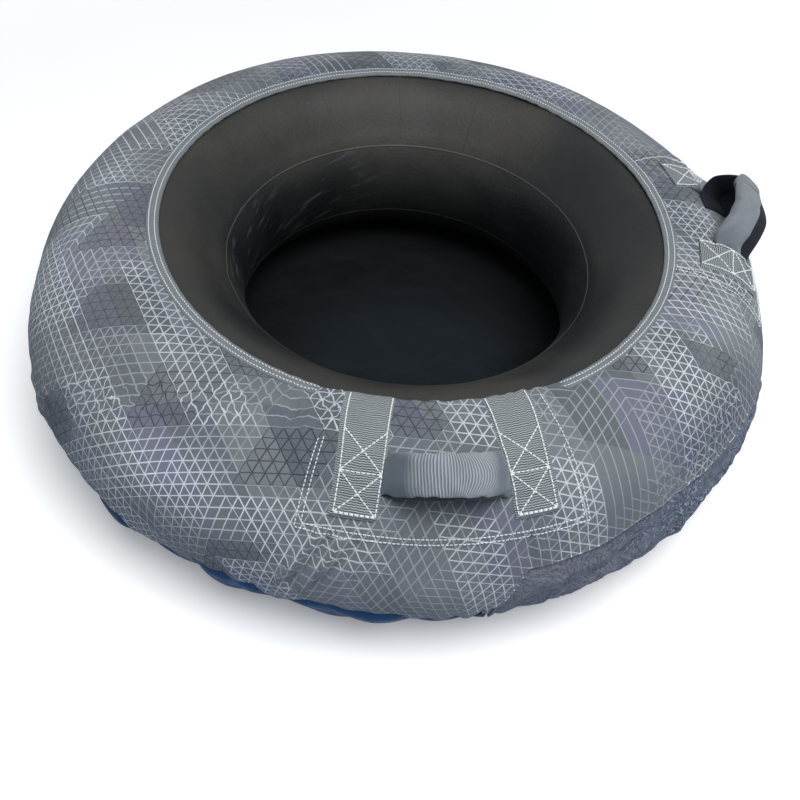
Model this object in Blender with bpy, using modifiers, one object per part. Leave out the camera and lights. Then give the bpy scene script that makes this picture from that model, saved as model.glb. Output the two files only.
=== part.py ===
"""Snow tube: an inflated rubber ring in a printed fabric cover with a slick base and two grab handles.

Metres, +Z up. The origin is the centre of the base's underside. The front handle is at -Y and the side
handle at +X. An angle about the centre of the ring's section is 0 on the outer side and 90 degrees on the
crown, and a lift is a distance out from the cover's outer face.
"""

import math

import bmesh
import bpy
from mathutils import Matrix, Vector

# Ring and its section
ring_radius = 0.3193
section_half_width = 0.1305
section_half_height = 0.1275
section_centre_height = 0.1235
rim_radius = 0.295
hem_angle = math.radians(-24.0)
base_edge_angle = math.radians(-78.0)
ring_steps = 56
section_step = math.radians(12.0)

# Cloth, sheet and rubber
fit_gap = 0.0003
cover_thickness = 0.0008
base_thickness = 0.0010
patch_thickness = 0.0008
seat_thickness = 0.0006
tube_wall = 0.0020
seat_inset = 0.0264

# Side gusset, in steps of the ring
gusset_first_step = -13
gusset_steps = 28
gusset_top_angle = math.radians(24.0)

# Rim binding
binding_width = 0.012
binding_thickness = 0.0012
binding_lip = 0.0012

# Reinforcements under the cover
patch_half_steps = 3
patch_top_angle = math.radians(84.0)
patch_end_angle = math.radians(36.0)

# Webbing anchors
anchor_width = 0.040
anchor_thickness = 0.0018
anchor_spacing = 0.160
front_anchor_end_angle = math.radians(45.0)
side_anchor_start_angle = math.radians(83.5)
side_anchor_end_angle = math.radians(46.5)
anchor_cell = 0.012
anchor_cells_across = 3

# Handles
front_azimuth = math.radians(-90.0)
side_azimuth = math.radians(0.0)
hinge_angle = math.radians(64.0)
handle_elevation = math.radians(52.0)
handle_rise = 0.053
arch_power = 2.6
arch_ease = 1.4
handle_end_radius = 0.0045
core_width = 0.038
core_thickness = 0.0060
taper_height = 0.030
sleeve_thickness = 0.0028
sleeve_end_share = 0.93
side_sleeve_end_share = 0.22
side_tab_start_share = 0.80
sleeve_opening = math.radians(70.0)
arch_stations = 24
arch_sides = 14

# Valve
valve_azimuth = math.radians(-90.0)
valve_angle = math.radians(204.0)
valve_patch_radius = 0.027
valve_patch_thickness = 0.0015
stem_radius = 0.0058
stem_length = 0.026
stem_flange_radius = 0.011
stem_flange_thickness = 0.0018
stem_inner_length = 0.006
stem_tip_share = 0.86
stem_taper_share = 0.6
insert_radius = 0.00385
insert_projection = 0.011
core_barrel_radius = 0.0026
core_barrel_length = 0.012
pin_radius = 0.0006
pin_length = 0.0170
pin_head_radius = 0.0011
pin_head_length = 0.0008
pin_travel = 0.0012
pin_recess = 0.0002
cap_radius = 0.0055
cap_length = 0.0115
cap_depth = 0.0098
cap_tip_share = 0.9
cap_edge_share = 0.12
thread_clearance = 0.00025
round_steps = 16
patch_round_steps = 24
cut_overrun = 0.004

tube_depth = (
    max(cover_thickness + fit_gap + patch_thickness, base_thickness + fit_gap + seat_thickness) + fit_gap
)
ring_step = 2 * math.pi / ring_steps
rim_angle = math.acos((rim_radius - ring_radius) / section_half_width)
binding_angle = binding_width / section_half_width


def clear_scene():
    for obj in list(bpy.data.objects):
        bpy.data.objects.remove(obj, do_unlink=True)


def new_collection(name):
    group = bpy.data.collections.new(name)
    bpy.context.scene.collection.children.link(group)
    return group


def new_material(name, colour, roughness, metallic=0.0):
    material = bpy.data.materials.new(name)
    material.use_nodes = True
    shader = material.node_tree.nodes["Principled BSDF"]
    shader.inputs["Base Color"].default_value = (*colour, 1.0)
    shader.inputs["Roughness"].default_value = roughness
    shader.inputs["Metallic"].default_value = metallic
    return material


def new_object(name, mesh, material, group, parent=None):
    obj = bpy.data.objects.new(name, mesh)
    group.objects.link(obj)
    obj.parent = parent
    if material:
        mesh.materials.append(material)
        mesh.shade_smooth()
        mesh.set_sharp_from_angle(angle=math.radians(40.0))
    return obj


def solidify(obj, thickness, outward=False):
    shell = obj.modifiers.new("Wall", "SOLIDIFY")
    shell.thickness = thickness
    shell.offset = 1.0 if outward else -1.0
    shell.use_even_offset = True
    return obj


def section_point(angle, lift):
    """Radius and height of the section at an angle, flat where the ring rests on the base."""
    radius = ring_radius + (section_half_width + lift) * math.cos(angle)
    height = section_centre_height + (section_half_height + lift) * math.sin(angle)
    return radius, max(height, -lift)


def place(azimuth, angle, lift):
    radius, height = section_point(angle, lift)
    return Vector((radius * math.cos(azimuth), radius * math.sin(azimuth), height))


def stations(first, last, step):
    """Both ends, and each whole step that lies between them, so that neighbouring shells share facets."""
    low, high = sorted((first, last))
    inside = [k * step for k in range(math.ceil(low / step), math.floor(high / step) + 1)]
    margin = step / 20
    inside = [value for value in inside if low + margin < value < high - margin]
    values = [low, *inside, high]
    return values if first < last else values[::-1]


def bent_sheet(name, columns, rows, point, material, parent=None):
    """An open grid bent to shape: point gives the place of each column and row."""
    shape = bmesh.new()
    bmesh.ops.create_grid(shape, x_segments=len(columns) - 1, y_segments=len(rows) - 1, size=0.5)
    for vertex in shape.verts:
        column = round((vertex.co.x + 0.5) * (len(columns) - 1))
        row = round((vertex.co.y + 0.5) * (len(rows) - 1))
        vertex.co = point(columns[column], rows[row])
    mesh = bpy.data.meshes.new(name)
    shape.to_mesh(mesh)
    shape.free()
    return new_object(name, mesh, material, parts, parent)


def turned(name, outline, material, closed=False, steps=ring_steps, parent=None, group=None):
    """A profile of radii and heights, from the top down its outer side, turned about Z."""
    count = len(outline)
    edges = [(i, (i + 1) % count) for i in range(count if closed else count - 1)]
    mesh = bpy.data.meshes.new(name)
    mesh.from_pydata([(radius, 0.0, height) for radius, height in outline], edges, [])
    obj = new_object(name, mesh, material, group or parts, parent)
    screw = obj.modifiers.new("Turn", "SCREW")
    screw.steps = steps
    screw.render_steps = steps
    screw.use_merge_vertices = True
    screw.merge_threshold = 0.00001
    screw.use_smooth_shade = True
    return obj


def loft(name, rings, material, closed=False, parent=None):
    """A skin over rings of points, closed into a loop or capped at both ends."""
    shape = bmesh.new()
    levels = [[shape.verts.new(point) for point in ring] for ring in rings]
    pairs = list(zip(levels, levels[1:]))
    if closed:
        pairs.append((levels[-1], levels[0]))
    for lower, upper in pairs:
        for i in range(len(lower)):
            j = (i + 1) % len(lower)
            shape.faces.new((lower[i], lower[j], upper[j], upper[i]))
    if not closed:
        shape.faces.new(levels[0][::-1])
        shape.faces.new(levels[-1])
    bmesh.ops.recalc_face_normals(shape, faces=shape.faces)
    mesh = bpy.data.meshes.new(name)
    shape.to_mesh(mesh)
    shape.free()
    return new_object(name, mesh, material, parts, parent)


def cut(obj, cutter):
    boolean = obj.modifiers.new("Cut " + cutter.name, "BOOLEAN")
    boolean.operation = "DIFFERENCE"
    boolean.object = cutter


def make_cover():
    """The printed panel runs from the rim over the crown to the hem, with a notch for the plain gusset."""
    azimuths = [k * ring_step for k in range(ring_steps + 1)]
    angles = stations(hem_angle, rim_angle, section_step)
    panel = bent_sheet("top_panel", azimuths, angles, lambda a, s: place(a, s, 0.0), cloth)
    shape = bmesh.new()
    shape.from_mesh(panel.data)
    notch_first = gusset_first_step * ring_step
    notch_span = gusset_steps * ring_step
    notch_height = section_point(gusset_top_angle, 0.0)[1]
    notch = []
    for face in shape.faces:
        centre = face.calc_center_median()
        turn = (math.atan2(centre.y, centre.x) - notch_first) % (2 * math.pi)
        if turn < notch_span and centre.z < notch_height:
            notch.append(face)
    bmesh.ops.delete(shape, geom=notch, context="FACES")
    bmesh.ops.remove_doubles(shape, verts=shape.verts, dist=0.00001)
    shape.to_mesh(panel.data)
    shape.free()
    solidify(panel, cover_thickness)

    side_gap = fit_gap / ring_radius
    edge_gap = fit_gap / section_half_height
    azimuths = stations(notch_first + side_gap, notch_first + notch_span - side_gap, ring_step)
    angles = stations(hem_angle, gusset_top_angle - edge_gap, section_step)
    gusset = bent_sheet("side_gusset", azimuths, angles, lambda a, s: place(a, s, 0.0), plain_cloth)
    solidify(gusset, cover_thickness)


def make_base():
    """A flat round slick sheet, and a strip sewn to its edge that turns up round the ring to the hem."""
    edge_gap = fit_gap / section_half_height
    angles = stations(hem_angle - edge_gap, base_edge_angle, section_step)
    outline = [section_point(angle, 0.0) for angle in angles]
    solidify(turned("base_sidewall", outline, slick), base_thickness)
    edge = section_point(base_edge_angle, 0.0)[0] - 2 * fit_gap
    outline = [(0.0, base_thickness), (edge, base_thickness), (edge, 0.0), (0.0, 0.0)]
    turned("base_panel", outline, slick)

    seat_edge = edge - seat_inset
    seat_low = base_thickness + fit_gap
    seat_high = seat_low + seat_thickness
    outline = [(0.0, seat_high), (seat_edge, seat_high), (seat_edge, seat_low), (0.0, seat_low)]
    turned("seat_panel", outline, liner)


def make_inner_tube():
    """A hollow rubber ring, finer under the cover than on its bare inner wall, open at the valve."""
    covered = stations(math.radians(96.0), math.radians(-84.0), section_step)
    bare = stations(math.radians(-108.0), math.radians(-252.0), 2 * section_step)
    outline = [section_point(angle, -tube_depth) for angle in covered + bare]
    tube = turned("inner_tube", outline, rubber, closed=True)
    solidify(tube, tube_wall)
    cut(tube, valve_hole())


def make_binding():
    """Tape over the cover's edge, turned down past it."""
    lift = fit_gap
    edge = rim_angle + fit_gap / section_half_width
    lip = edge + binding_thickness / section_half_width
    outline = [
        section_point(lip, -binding_lip),
        section_point(lip, lift + binding_thickness / 2),
        section_point(edge, lift + binding_thickness),
        section_point(rim_angle - binding_angle / 2, lift + binding_thickness),
        section_point(rim_angle - binding_angle, lift + binding_thickness),
        section_point(rim_angle - binding_angle, lift),
        section_point(rim_angle - binding_angle / 2, lift),
        section_point(edge, lift),
        section_point(edge, -binding_lip),
    ]
    turned("rim_binding", outline, tape, closed=True)


def make_reinforcement(name, azimuth):
    first = azimuth - patch_half_steps * ring_step
    azimuths = [first + k * ring_step for k in range(2 * patch_half_steps + 1)]
    angles = stations(patch_end_angle, patch_top_angle, section_step)
    depth = cover_thickness + fit_gap
    patch = bent_sheet(name, azimuths, angles, lambda a, s: place(a, s, -depth), backing)
    solidify(patch, patch_thickness)


def anchor_turn():
    """Angle from a handle's middle to the middle line of one of its anchors."""
    return math.asin(anchor_spacing / 2 / section_point(hinge_angle, 0.0)[0])


def anchor_lift():
    """Webbing lies clear of the cover, and its own flat cells don't reach down to it."""
    across = anchor_width / anchor_cells_across
    return fit_gap + anchor_cell**2 / (8 * section_half_width) + across**2 / (8 * rim_radius)


def make_anchor(name, azimuth, side, start_angle, end_angle):
    middle = azimuth + side * anchor_turn()
    lift = anchor_lift()
    cells = math.ceil((start_angle - end_angle) * section_half_width / anchor_cell)
    angles = [end_angle + (start_angle - end_angle) * k / cells for k in range(cells + 1)]
    offsets = [anchor_width * (k / anchor_cells_across - 0.5) for k in range(anchor_cells_across + 1)]

    def point(offset, angle):
        radius = section_point(angle, lift)[0]
        return place(middle + math.asin(offset / radius), angle, lift)

    solidify(bent_sheet(name, offsets, angles, point, webbing), anchor_thickness, outward=True)


def make_anchors():
    binding_edge = rim_angle - binding_angle - 2 * fit_gap / section_half_width
    make_anchor("front_anchor_left", front_azimuth, -1, binding_edge, front_anchor_end_angle)
    make_anchor("front_anchor_right", front_azimuth, 1, binding_edge, front_anchor_end_angle)
    make_anchor("side_anchor_near", side_azimuth, -1, side_anchor_start_angle, side_anchor_end_angle)
    make_anchor("side_anchor_far", side_azimuth, 1, side_anchor_start_angle, side_anchor_end_angle)


def hinge_place():
    """Distance of a handle's axis from the ring's axis, its height, and the reach of each leg's end."""
    lift = handle_end_radius + fit_gap
    radius, height = section_point(hinge_angle, lift)
    turn = anchor_turn()
    leg_turn = turn - math.asin(anchor_width / 2 / radius)
    distance = radius * math.cos(leg_turn)
    edge = distance * math.tan(turn) - anchor_width / 2 / math.cos(turn)
    reach = edge - handle_end_radius * math.tan(turn) - 2 * fit_gap
    return distance, height, reach


def arch_point(share, reach):
    """A point on the middle line of a handle, share running from -1 to 1 between its ends."""
    rise = max(0.0, 1.0 - abs(share) ** arch_power) ** arch_ease
    return Vector((reach * share, 0.0, handle_rise * rise))


def arch_frame(share, reach):
    """The middle point and the direction square to the arch in its own plane."""
    before = arch_point(max(-1.0, share - 0.01), reach)
    after = arch_point(min(1.0, share + 0.01), reach)
    along = (after - before).normalized()
    if abs(share) == 1.0:
        along = Vector((1.0, 0.0, 0.0))
    return arch_point(share, reach), Vector((-along.z, 0.0, along.x))


def core_size(height):
    """Half width and half thickness of the padded core, round where it turns on its axis."""
    share = min(1.0, height / taper_height)
    half_width = handle_end_radius + (core_width / 2 - handle_end_radius) * share
    half_thickness = handle_end_radius + (core_thickness / 2 - handle_end_radius) * share
    return half_width, half_thickness, share


def arch_ring_point(share, turn, reach, clearance):
    middle, normal = arch_frame(share, reach)
    half_width, half_thickness, _ = core_size(middle.z)
    across = Vector((0.0, (half_width + clearance) * math.cos(turn), 0.0))
    return middle + across + normal * (half_thickness + clearance) * math.sin(turn)


def handle_hinge(name, azimuth):
    """An empty on the handle's axis: X along the axis, Z up the handle and Y towards the rim."""
    distance, height, _ = hinge_place()
    along = Vector((-math.sin(azimuth), math.cos(azimuth), 0.0))
    outward = Vector((math.cos(azimuth), math.sin(azimuth), 0.0))
    up = outward * math.cos(handle_elevation) + Vector((0.0, 0.0, math.sin(handle_elevation)))
    inward = up.cross(along)
    hinge = bpy.data.objects.new(name, None)
    parts.objects.link(hinge)
    turn = Matrix((along, inward, up)).transposed().to_4x4()
    hinge.matrix_world = Matrix.Translation(outward * distance + Vector((0.0, 0.0, height))) @ turn
    return hinge


def make_core(name, hinge):
    reach = hinge_place()[2]
    turns = [2 * math.pi * k / arch_sides for k in range(arch_sides)]
    rings = []
    for station in range(arch_stations + 1):
        share = 2 * station / arch_stations - 1
        rings.append([arch_ring_point(share, turn, reach, 0.0) for turn in turns])
    loft(name, rings, black_webbing, parent=hinge)


def make_sleeve(name, hinge, first_share, last_share):
    """A cloth sleeve round the core, slit along the outer edge, where the core shows."""
    reach = hinge_place()[2]
    step = 2 / arch_stations
    shares = stations(first_share, last_share, step)
    turn_step = 2 * math.pi / arch_sides
    turns = stations(sleeve_opening - math.pi, math.pi - sleeve_opening, turn_step)

    def point(share, turn):
        return arch_ring_point(share, turn, reach, fit_gap)

    solidify(bent_sheet(name, shares, turns, point, sleeve_cloth, parent=hinge), sleeve_thickness)


def make_handles():
    front = handle_hinge("front_handle_hinge", front_azimuth)
    make_core("front_handle_core", front)
    make_sleeve("front_grip_sleeve", front, -sleeve_end_share, sleeve_end_share)
    side = handle_hinge("side_handle_hinge", side_azimuth)
    make_core("side_handle_core", side)
    make_sleeve("side_grip_sleeve", side, -sleeve_end_share, side_sleeve_end_share)
    make_sleeve("side_sleeve_tab", side, side_tab_start_share, sleeve_end_share)


def valve_place():
    """The bare wall where the valve stands, and a frame with Z square to the wall and into the hole."""
    outward = Vector((math.cos(valve_azimuth), math.sin(valve_azimuth), 0.0))
    across = Vector((-outward.y, outward.x, 0.0))
    axis = outward * (math.cos(valve_angle) / (section_half_width - tube_depth))
    axis.z = math.sin(valve_angle) / (section_half_height - tube_depth)
    axis.normalize()
    turn = Matrix((across, axis.cross(across), axis)).transposed().to_4x4()
    return Matrix.Translation(place(valve_azimuth, valve_angle, -tube_depth)) @ turn


def valve_hole():
    """A cutter through the tube's wall, round the foot of the stem."""
    shape = bmesh.new()
    radius = stem_radius + fit_gap
    length = 2 * (tube_wall + cut_overrun)
    bmesh.ops.create_cone(
        shape, cap_ends=True, segments=round_steps, radius1=radius, radius2=radius, depth=length
    )
    mesh = bpy.data.meshes.new("valve_hole")
    shape.to_mesh(mesh)
    shape.free()
    cutter = new_object("valve_hole", mesh, None, cutters)
    cutter.matrix_world = valve_place()
    cutter.hide_render = True
    cutter.display_type = "WIRE"
    return cutter


def make_valve_patch():
    """A round rubber patch bent to the bare wall, lying on its flat cells, with a hole for the stem."""
    base = fit_gap + (ring_radius - section_half_width) * (1 - math.cos(ring_step / 2))
    inner = stem_radius + fit_gap
    middle = (inner + valve_patch_radius) / 2
    outline = [
        (inner, 0.0),
        (inner, valve_patch_thickness),
        (middle, valve_patch_thickness),
        (valve_patch_radius - valve_patch_thickness, valve_patch_thickness),
        (valve_patch_radius, valve_patch_thickness / 3),
        (valve_patch_radius, 0.0),
        (middle, 0.0),
    ]
    rings = []
    for radius, height in outline:
        ring = []
        for k in range(patch_round_steps):
            turn = 2 * math.pi * k / patch_round_steps
            angle = valve_angle - radius * math.sin(turn) / section_half_height
            lift = base + height - tube_depth
            azimuth = valve_azimuth + radius * math.cos(turn) / section_point(angle, lift)[0]
            ring.append(place(azimuth, angle, lift))
        rings.append(ring)
    loft("valve_patch", rings, rubber, closed=True)
    return base + valve_patch_thickness


def make_valve():
    foot = make_valve_patch()
    valve = bpy.data.objects.new("valve_axis", None)
    parts.objects.link(valve)
    valve.matrix_world = valve_place()

    wall_rise = stem_flange_radius**2 / (2 * (ring_radius - section_half_width))
    flange_low = foot + fit_gap + wall_rise
    flange_high = flange_low + stem_flange_thickness
    stem_top = flange_high + stem_length
    bore = insert_radius + thread_clearance
    outline = [
        (bore, stem_top),
        (stem_radius * stem_tip_share, stem_top),
        (stem_radius, stem_top - stem_length * stem_taper_share),
        (stem_radius, flange_high + stem_flange_thickness),
        (stem_flange_radius, flange_low + stem_flange_thickness / 2),
        (stem_flange_radius, flange_low),
        (stem_radius, flange_low),
        (stem_radius, -stem_inner_length),
        (bore, -stem_inner_length),
    ]
    turned("valve_stem", outline, rubber, closed=True, steps=round_steps, parent=valve)

    insert_top = stem_top + insert_projection
    barrel_bore = core_barrel_radius + thread_clearance
    outline = [
        (barrel_bore, insert_top),
        (insert_radius, insert_top),
        (insert_radius, -stem_inner_length),
        (barrel_bore, -stem_inner_length),
    ]
    turned("valve_insert", outline, brass, closed=True, steps=round_steps, parent=valve)

    core_top = insert_top - pin_recess - pin_head_length - pin_travel - fit_gap
    pin_hole = pin_radius + thread_clearance
    outline = [
        (pin_hole, core_top),
        (core_barrel_radius, core_top),
        (core_barrel_radius, core_top - core_barrel_length),
        (pin_hole, core_top - core_barrel_length),
    ]
    turned("valve_core", outline, brass, closed=True, steps=round_steps, parent=valve)

    pin_top = insert_top - pin_recess
    outline = [
        (0.0, pin_top),
        (pin_head_radius, pin_top),
        (pin_head_radius, pin_top - pin_head_length),
        (pin_radius, pin_top - pin_head_length),
        (pin_radius, pin_top - pin_length),
        (0.0, pin_top - pin_length),
    ]
    turned("valve_pin", outline, brass, steps=round_steps, parent=valve)

    cap_top = insert_top + fit_gap + cap_length - cap_depth
    cap_bore = insert_radius + thread_clearance
    outline = [
        (0.0, cap_top),
        (cap_radius * cap_tip_share, cap_top),
        (cap_radius, cap_top - cap_length * cap_edge_share),
        (cap_radius, cap_top - cap_length),
        (cap_bore, cap_top - cap_length),
        (cap_bore, cap_top - cap_length + cap_depth),
        (0.0, cap_top - cap_length + cap_depth),
    ]
    turned("valve_cap", outline, plastic, steps=round_steps, parent=valve)


clear_scene()
parts = new_collection("snow_tube")
cutters = new_collection("cutters")

cloth = new_material("printed_cloth", (0.21, 0.24, 0.26), 0.75)
plain_cloth = new_material("plain_cloth", (0.14, 0.16, 0.19), 0.8)
slick = new_material("slick_sheet", (0.02, 0.09, 0.2), 0.3)
liner = new_material("black_liner", (0.01, 0.012, 0.016), 0.6)
tape = new_material("binding_tape", (0.3, 0.33, 0.33), 0.7)
backing = new_material("backing_cloth", (0.12, 0.13, 0.14), 0.8)
webbing = new_material("grey_webbing", (0.28, 0.3, 0.31), 0.7)
black_webbing = new_material("black_webbing", (0.008, 0.01, 0.015), 0.7)
sleeve_cloth = new_material("sleeve_cloth", (0.2, 0.22, 0.24), 0.75)
rubber = new_material("butyl_rubber", (0.03, 0.03, 0.03), 0.45)
brass = new_material("brass", (0.62, 0.47, 0.22), 0.3, 1.0)
plastic = new_material("black_plastic", (0.01, 0.01, 0.01), 0.4)

make_cover()
make_base()
make_inner_tube()
make_binding()
make_reinforcement("front_reinforcement", front_azimuth)
make_reinforcement("side_reinforcement", side_azimuth)
make_anchors()
make_handles()
make_valve()
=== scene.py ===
"""Snow tube: printed cover, slick base, webbing, padded handles and stitching, dressed on the solid model.

Metres, +Z up, in the solid model's frame. An angle about the centre of the ring's section is 0 on the
outer side and 90 degrees on the crown, and a lift is a distance out from the cover's outer face.
"""

import itertools
from math import acos, cos, degrees, pi, radians, sin, sqrt

import bmesh
import bpy
import numpy as np
from mathutils import Matrix, Vector


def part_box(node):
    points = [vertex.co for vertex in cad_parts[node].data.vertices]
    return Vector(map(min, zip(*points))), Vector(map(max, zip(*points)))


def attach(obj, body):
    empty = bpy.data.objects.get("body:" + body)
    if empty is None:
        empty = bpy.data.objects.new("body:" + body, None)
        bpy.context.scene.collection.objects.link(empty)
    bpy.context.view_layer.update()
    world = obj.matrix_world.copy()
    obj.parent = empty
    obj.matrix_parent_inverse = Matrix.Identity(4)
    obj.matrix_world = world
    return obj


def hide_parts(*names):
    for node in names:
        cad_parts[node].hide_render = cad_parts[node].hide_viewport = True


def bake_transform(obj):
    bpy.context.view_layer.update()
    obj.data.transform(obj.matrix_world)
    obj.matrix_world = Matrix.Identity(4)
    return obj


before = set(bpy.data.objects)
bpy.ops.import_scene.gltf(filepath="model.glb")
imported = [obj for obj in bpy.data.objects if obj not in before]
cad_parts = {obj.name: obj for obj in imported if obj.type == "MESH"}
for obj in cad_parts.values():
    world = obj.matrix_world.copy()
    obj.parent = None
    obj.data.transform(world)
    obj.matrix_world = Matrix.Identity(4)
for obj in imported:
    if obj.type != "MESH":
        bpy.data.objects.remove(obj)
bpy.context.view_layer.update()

# The ring and what it carries, as in the solid model
ring_radius = 0.3193
section_half_width = 0.1305
section_half_height = 0.1275
section_centre_height = 0.1235
rim_radius = 0.295
tube_depth = 0.0022
handles = {"front_handle": radians(-90.0), "side_handle": radians(0.0)}
hinge_angle = radians(64.0)
hinge_distance = 0.37370
hinge_height = 0.24241
handle_elevation = radians(52.0)
handle_reach = 0.05921
handle_rise = 0.053
arch_power = 2.6
arch_ease = 1.4
strap_turn = radians(12.268)
strap_thickness = 0.0018
patch_half_turn = radians(19.29)
patch_end_angle = radians(36.0)
valve_angle = radians(204.5)
valve_axis = np.array([0.0, 0.90991, -0.41482])
rim_angle = acos((rim_radius - ring_radius) / section_half_width)
arc_radius = (section_half_width + section_half_height) / 2

# Straps as drawn, and the slack side handle: the share of its height, and where its bare half ends
strap_width = 0.046
slack_top = 0.87
slack_end = 1.16

# Cover: the angle of its lower edge and of its edge over the gusset by azimuth, all in degrees
cover_columns = 840
upper_rows = 78
lower_rows = 28
notch_columns = (-195, 225)
hem_table = [
    (-180, -15), (-168, -12), (-158, -17), (-146, -14), (-141, -16), (-139.3, -3), (-134.8, -4),
    (-133.6, -17.5), (-132, -19), (-131, -15), (-125.3, -16), (-124.3, -24), (-123.4, -6), (-114, -7.5),
    (-112.8, -26), (-110.6, -27), (-109.6, -10), (-103, -7), (-98, -9), (-94.5, -12), (-93.5, -24),
    (-86, -24), (-84.9, -15), (-83.6, -13), (-82.4, -31), (90, -31), (96.4, -22), (104, -14), (113, -21),
    (124, -13), (137, -20), (149, -12), (164, -21), (180, -15),
]
edge_table = [
    (-180, 10), (-120, 8), (-90, 0), (-82.6, -4), (-79.4, 20.5), (-77.2, 20.0), (-73.8, 20.5),
    (-69.4, 21.0), (-63, 24), (-55, 26), (-49, 23.5), (-40, 21.5), (-25, 23), (-5, 25), (20, 22), (50, 25),
    (80, 22), (96.4, 18), (135, 10), (180, 10),
]

# Middle lines of the bands of crushed cloth, then the creases: both ends, half width and height
crumple_paths = [
    [
        (-158.6, 1.2), (-150.9, 19.1), (-143.1, 40.8), (-136.4, 58.7), (-129.2, 69.6), (-120.8, 82.3),
        (-114.4, 87.2), (-107.5, 89.3),
    ],
    [(-58, 32), (-46, 37), (-36, 42)],
]
folds = [
    ((-105.8, 38.5), (-111.2, 4.0), 0.0034, 0.0072), ((-104.4, 38.0), (-109.9, 1.0), 0.0026, -0.0062),
    ((-102.6, 38.5), (-108.4, -2.0), 0.0032, 0.0066), ((-100.6, 37.5), (-106.8, 4.0), 0.0026, -0.0046),
    ((-98.6, 36.5), (-103.5, 12.0), 0.0036, 0.0026), ((-112.5, 88.0), (-111.0, 60.0), 0.0040, 0.0034),
    ((-114.5, 90.0), (-116.0, 66.0), 0.0035, -0.0026), ((-79.0, 38.0), (-79.2, 23.0), 0.0022, -0.0044),
    ((-77.8, 36.0), (-77.6, 25.0), 0.0028, 0.0026), ((-72.0, 34.0), (-70.0, 24.0), 0.0040, -0.0022),
    ((14.0, 70.0), (24.0, 46.0), 0.0050, 0.0016), ((-16.0, 72.0), (-26.0, 44.0), 0.0050, 0.0016),
]
gusset_creases = [
    ((-78, -12), (-48, 10), 0.0045, 0.0034), ((-77, -4), (-56, 14), 0.0035, -0.0030),
    ((-48, 10), (-28, 6), 0.0045, 0.0034), ((-56, -8), (-36, 0), 0.0040, 0.0030),
    ((-76, 6), (-62, 16), 0.0030, 0.0026), ((20, 16), (60, -4), 0.0045, 0.0030),
]
tube_creases = [((172, 112), (177, 190), 0.014, -0.0014), ((188, 116), (193, 176), 0.011, -0.0010)]

# Soft round spots: middle, half widths, and the lift, or how much darker the print is painted as shade
# (paler, as painted light, below 0)
bulges = [
    (-150, 12, 20, 26, 0.012), (-52, 14, 20, 24, -0.009), (-136, -14, 4, 14, 0.004),
    (-126, -20, 5, 16, -0.005), (-109, -24, 8, 18, -0.007), (-13, 24, 14, 30, -0.0075),
    (-42, -2, 6, 20, -0.004), (27, 52, 16, 20, -0.0042), (74, 60, 22, 18, -0.0028),
    (-88, -26, 18, 20, -0.0055), (-64, -18, 10, 18, -0.0045),
]
# Painted light and shade on the print: positive amounts paint it darker, negative ones paler
painted_light_and_shade = [
    (-144, 20, 13, 22, 0.46), (-45, 38, 13, 17, 0.50), (-66, 32, 9, 14, 0.26), (98, 96, 50, 18, 0.44),
    (-100, 96, 34, 12, 0.14), (0, 92, 12, 12, 0.22), (-152, 94, 24, 12, 0.18), (-168, 48, 15, 24, -0.40),
    (-127, 34, 12, 16, -0.85), (170, 66, 16, 18, -0.62), (-36, 68, 12, 12, -0.45),
]

# Where the base swells out below the hem: azimuth, half width and lift
swells = [
    (-137, 3.0, 0.0045), (-128, 3.6, 0.0030), (-118.5, 4.6, 0.0040), (-102, 7.5, 0.0045), (-82, 3.0, 0.0010),
]

# Print: a lattice of triangles in patches
triangle_side = 0.0130
print_turn = radians(-8.0)
line_share = 0.055

lattice = np.random.default_rng(11).uniform(-1.0, 1.0, (32, 32, 32))


def rgb(red, green, blue):
    """A colour from 0 to 255 as a render shows it, turned into the linear values of a shader."""
    values = np.array([red, green, blue]) / 255
    linear = np.where(values <= 0.04045, values / 12.92, ((values + 0.055) / 1.055) ** 2.4)
    return (*linear.tolist(), 1.0)


def smooth(low, high, value):
    """From 0 at the low value to 1 at the high one."""
    share = np.clip((value - low) / (high - low), 0.0, 1.0)
    return share * share * (3.0 - 2.0 * share)


def smooth_angle(low, high, angle):
    """The same for an angle in radians, between limits in degrees."""
    return smooth(radians(low), radians(high), angle)


def circle(count):
    """Angles in even steps round a circle."""
    return np.arange(count) * 2 * pi / count


def stacked(*values):
    return np.stack(np.broadcast_arrays(*values), axis=-1)


def noise(points, cell):
    """Smooth noise from -1 to 1 with cells of this size."""
    cells = points / cell
    base = np.floor(cells).astype(int)
    part = cells - base
    part = part * part * (3.0 - 2.0 * part)
    total = 0.0
    for corner in itertools.product((0, 1), repeat=3):
        weight = np.prod(np.where(np.array(corner) == 1, part, 1.0 - part), axis=-1)
        x, y, z = np.moveaxis((base + np.array(corner)) % len(lattice), -1, 0)
        total = total + weight * lattice[x, y, z]
    return total


def section(angle, lift):
    """Distance from the ring's axis and height of a point of its section."""
    radius = ring_radius + (section_half_width + lift) * np.cos(angle)
    height = section_centre_height + (section_half_height + lift) * np.sin(angle)
    return radius, np.maximum(height, 0.0)


def place(azimuth, angle, lift=0.0):
    radius, height = section(angle, lift)
    return stacked(radius * np.cos(azimuth), radius * np.sin(azimuth), height)


def outward(azimuth, angle):
    step = place(azimuth, angle, 0.01) - place(azimuth, angle)
    return step / np.maximum(np.linalg.norm(step, axis=-1, keepdims=True), 1e-9)


def wrapped(turn):
    return (turn + pi) % (2 * pi) - pi


def by_azimuth(azimuth, table):
    """The table's value, in radians, at an azimuth."""
    turns, values = np.radians(np.array(table, float)).T
    return np.interp(wrapped(azimuth), turns, values)


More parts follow.
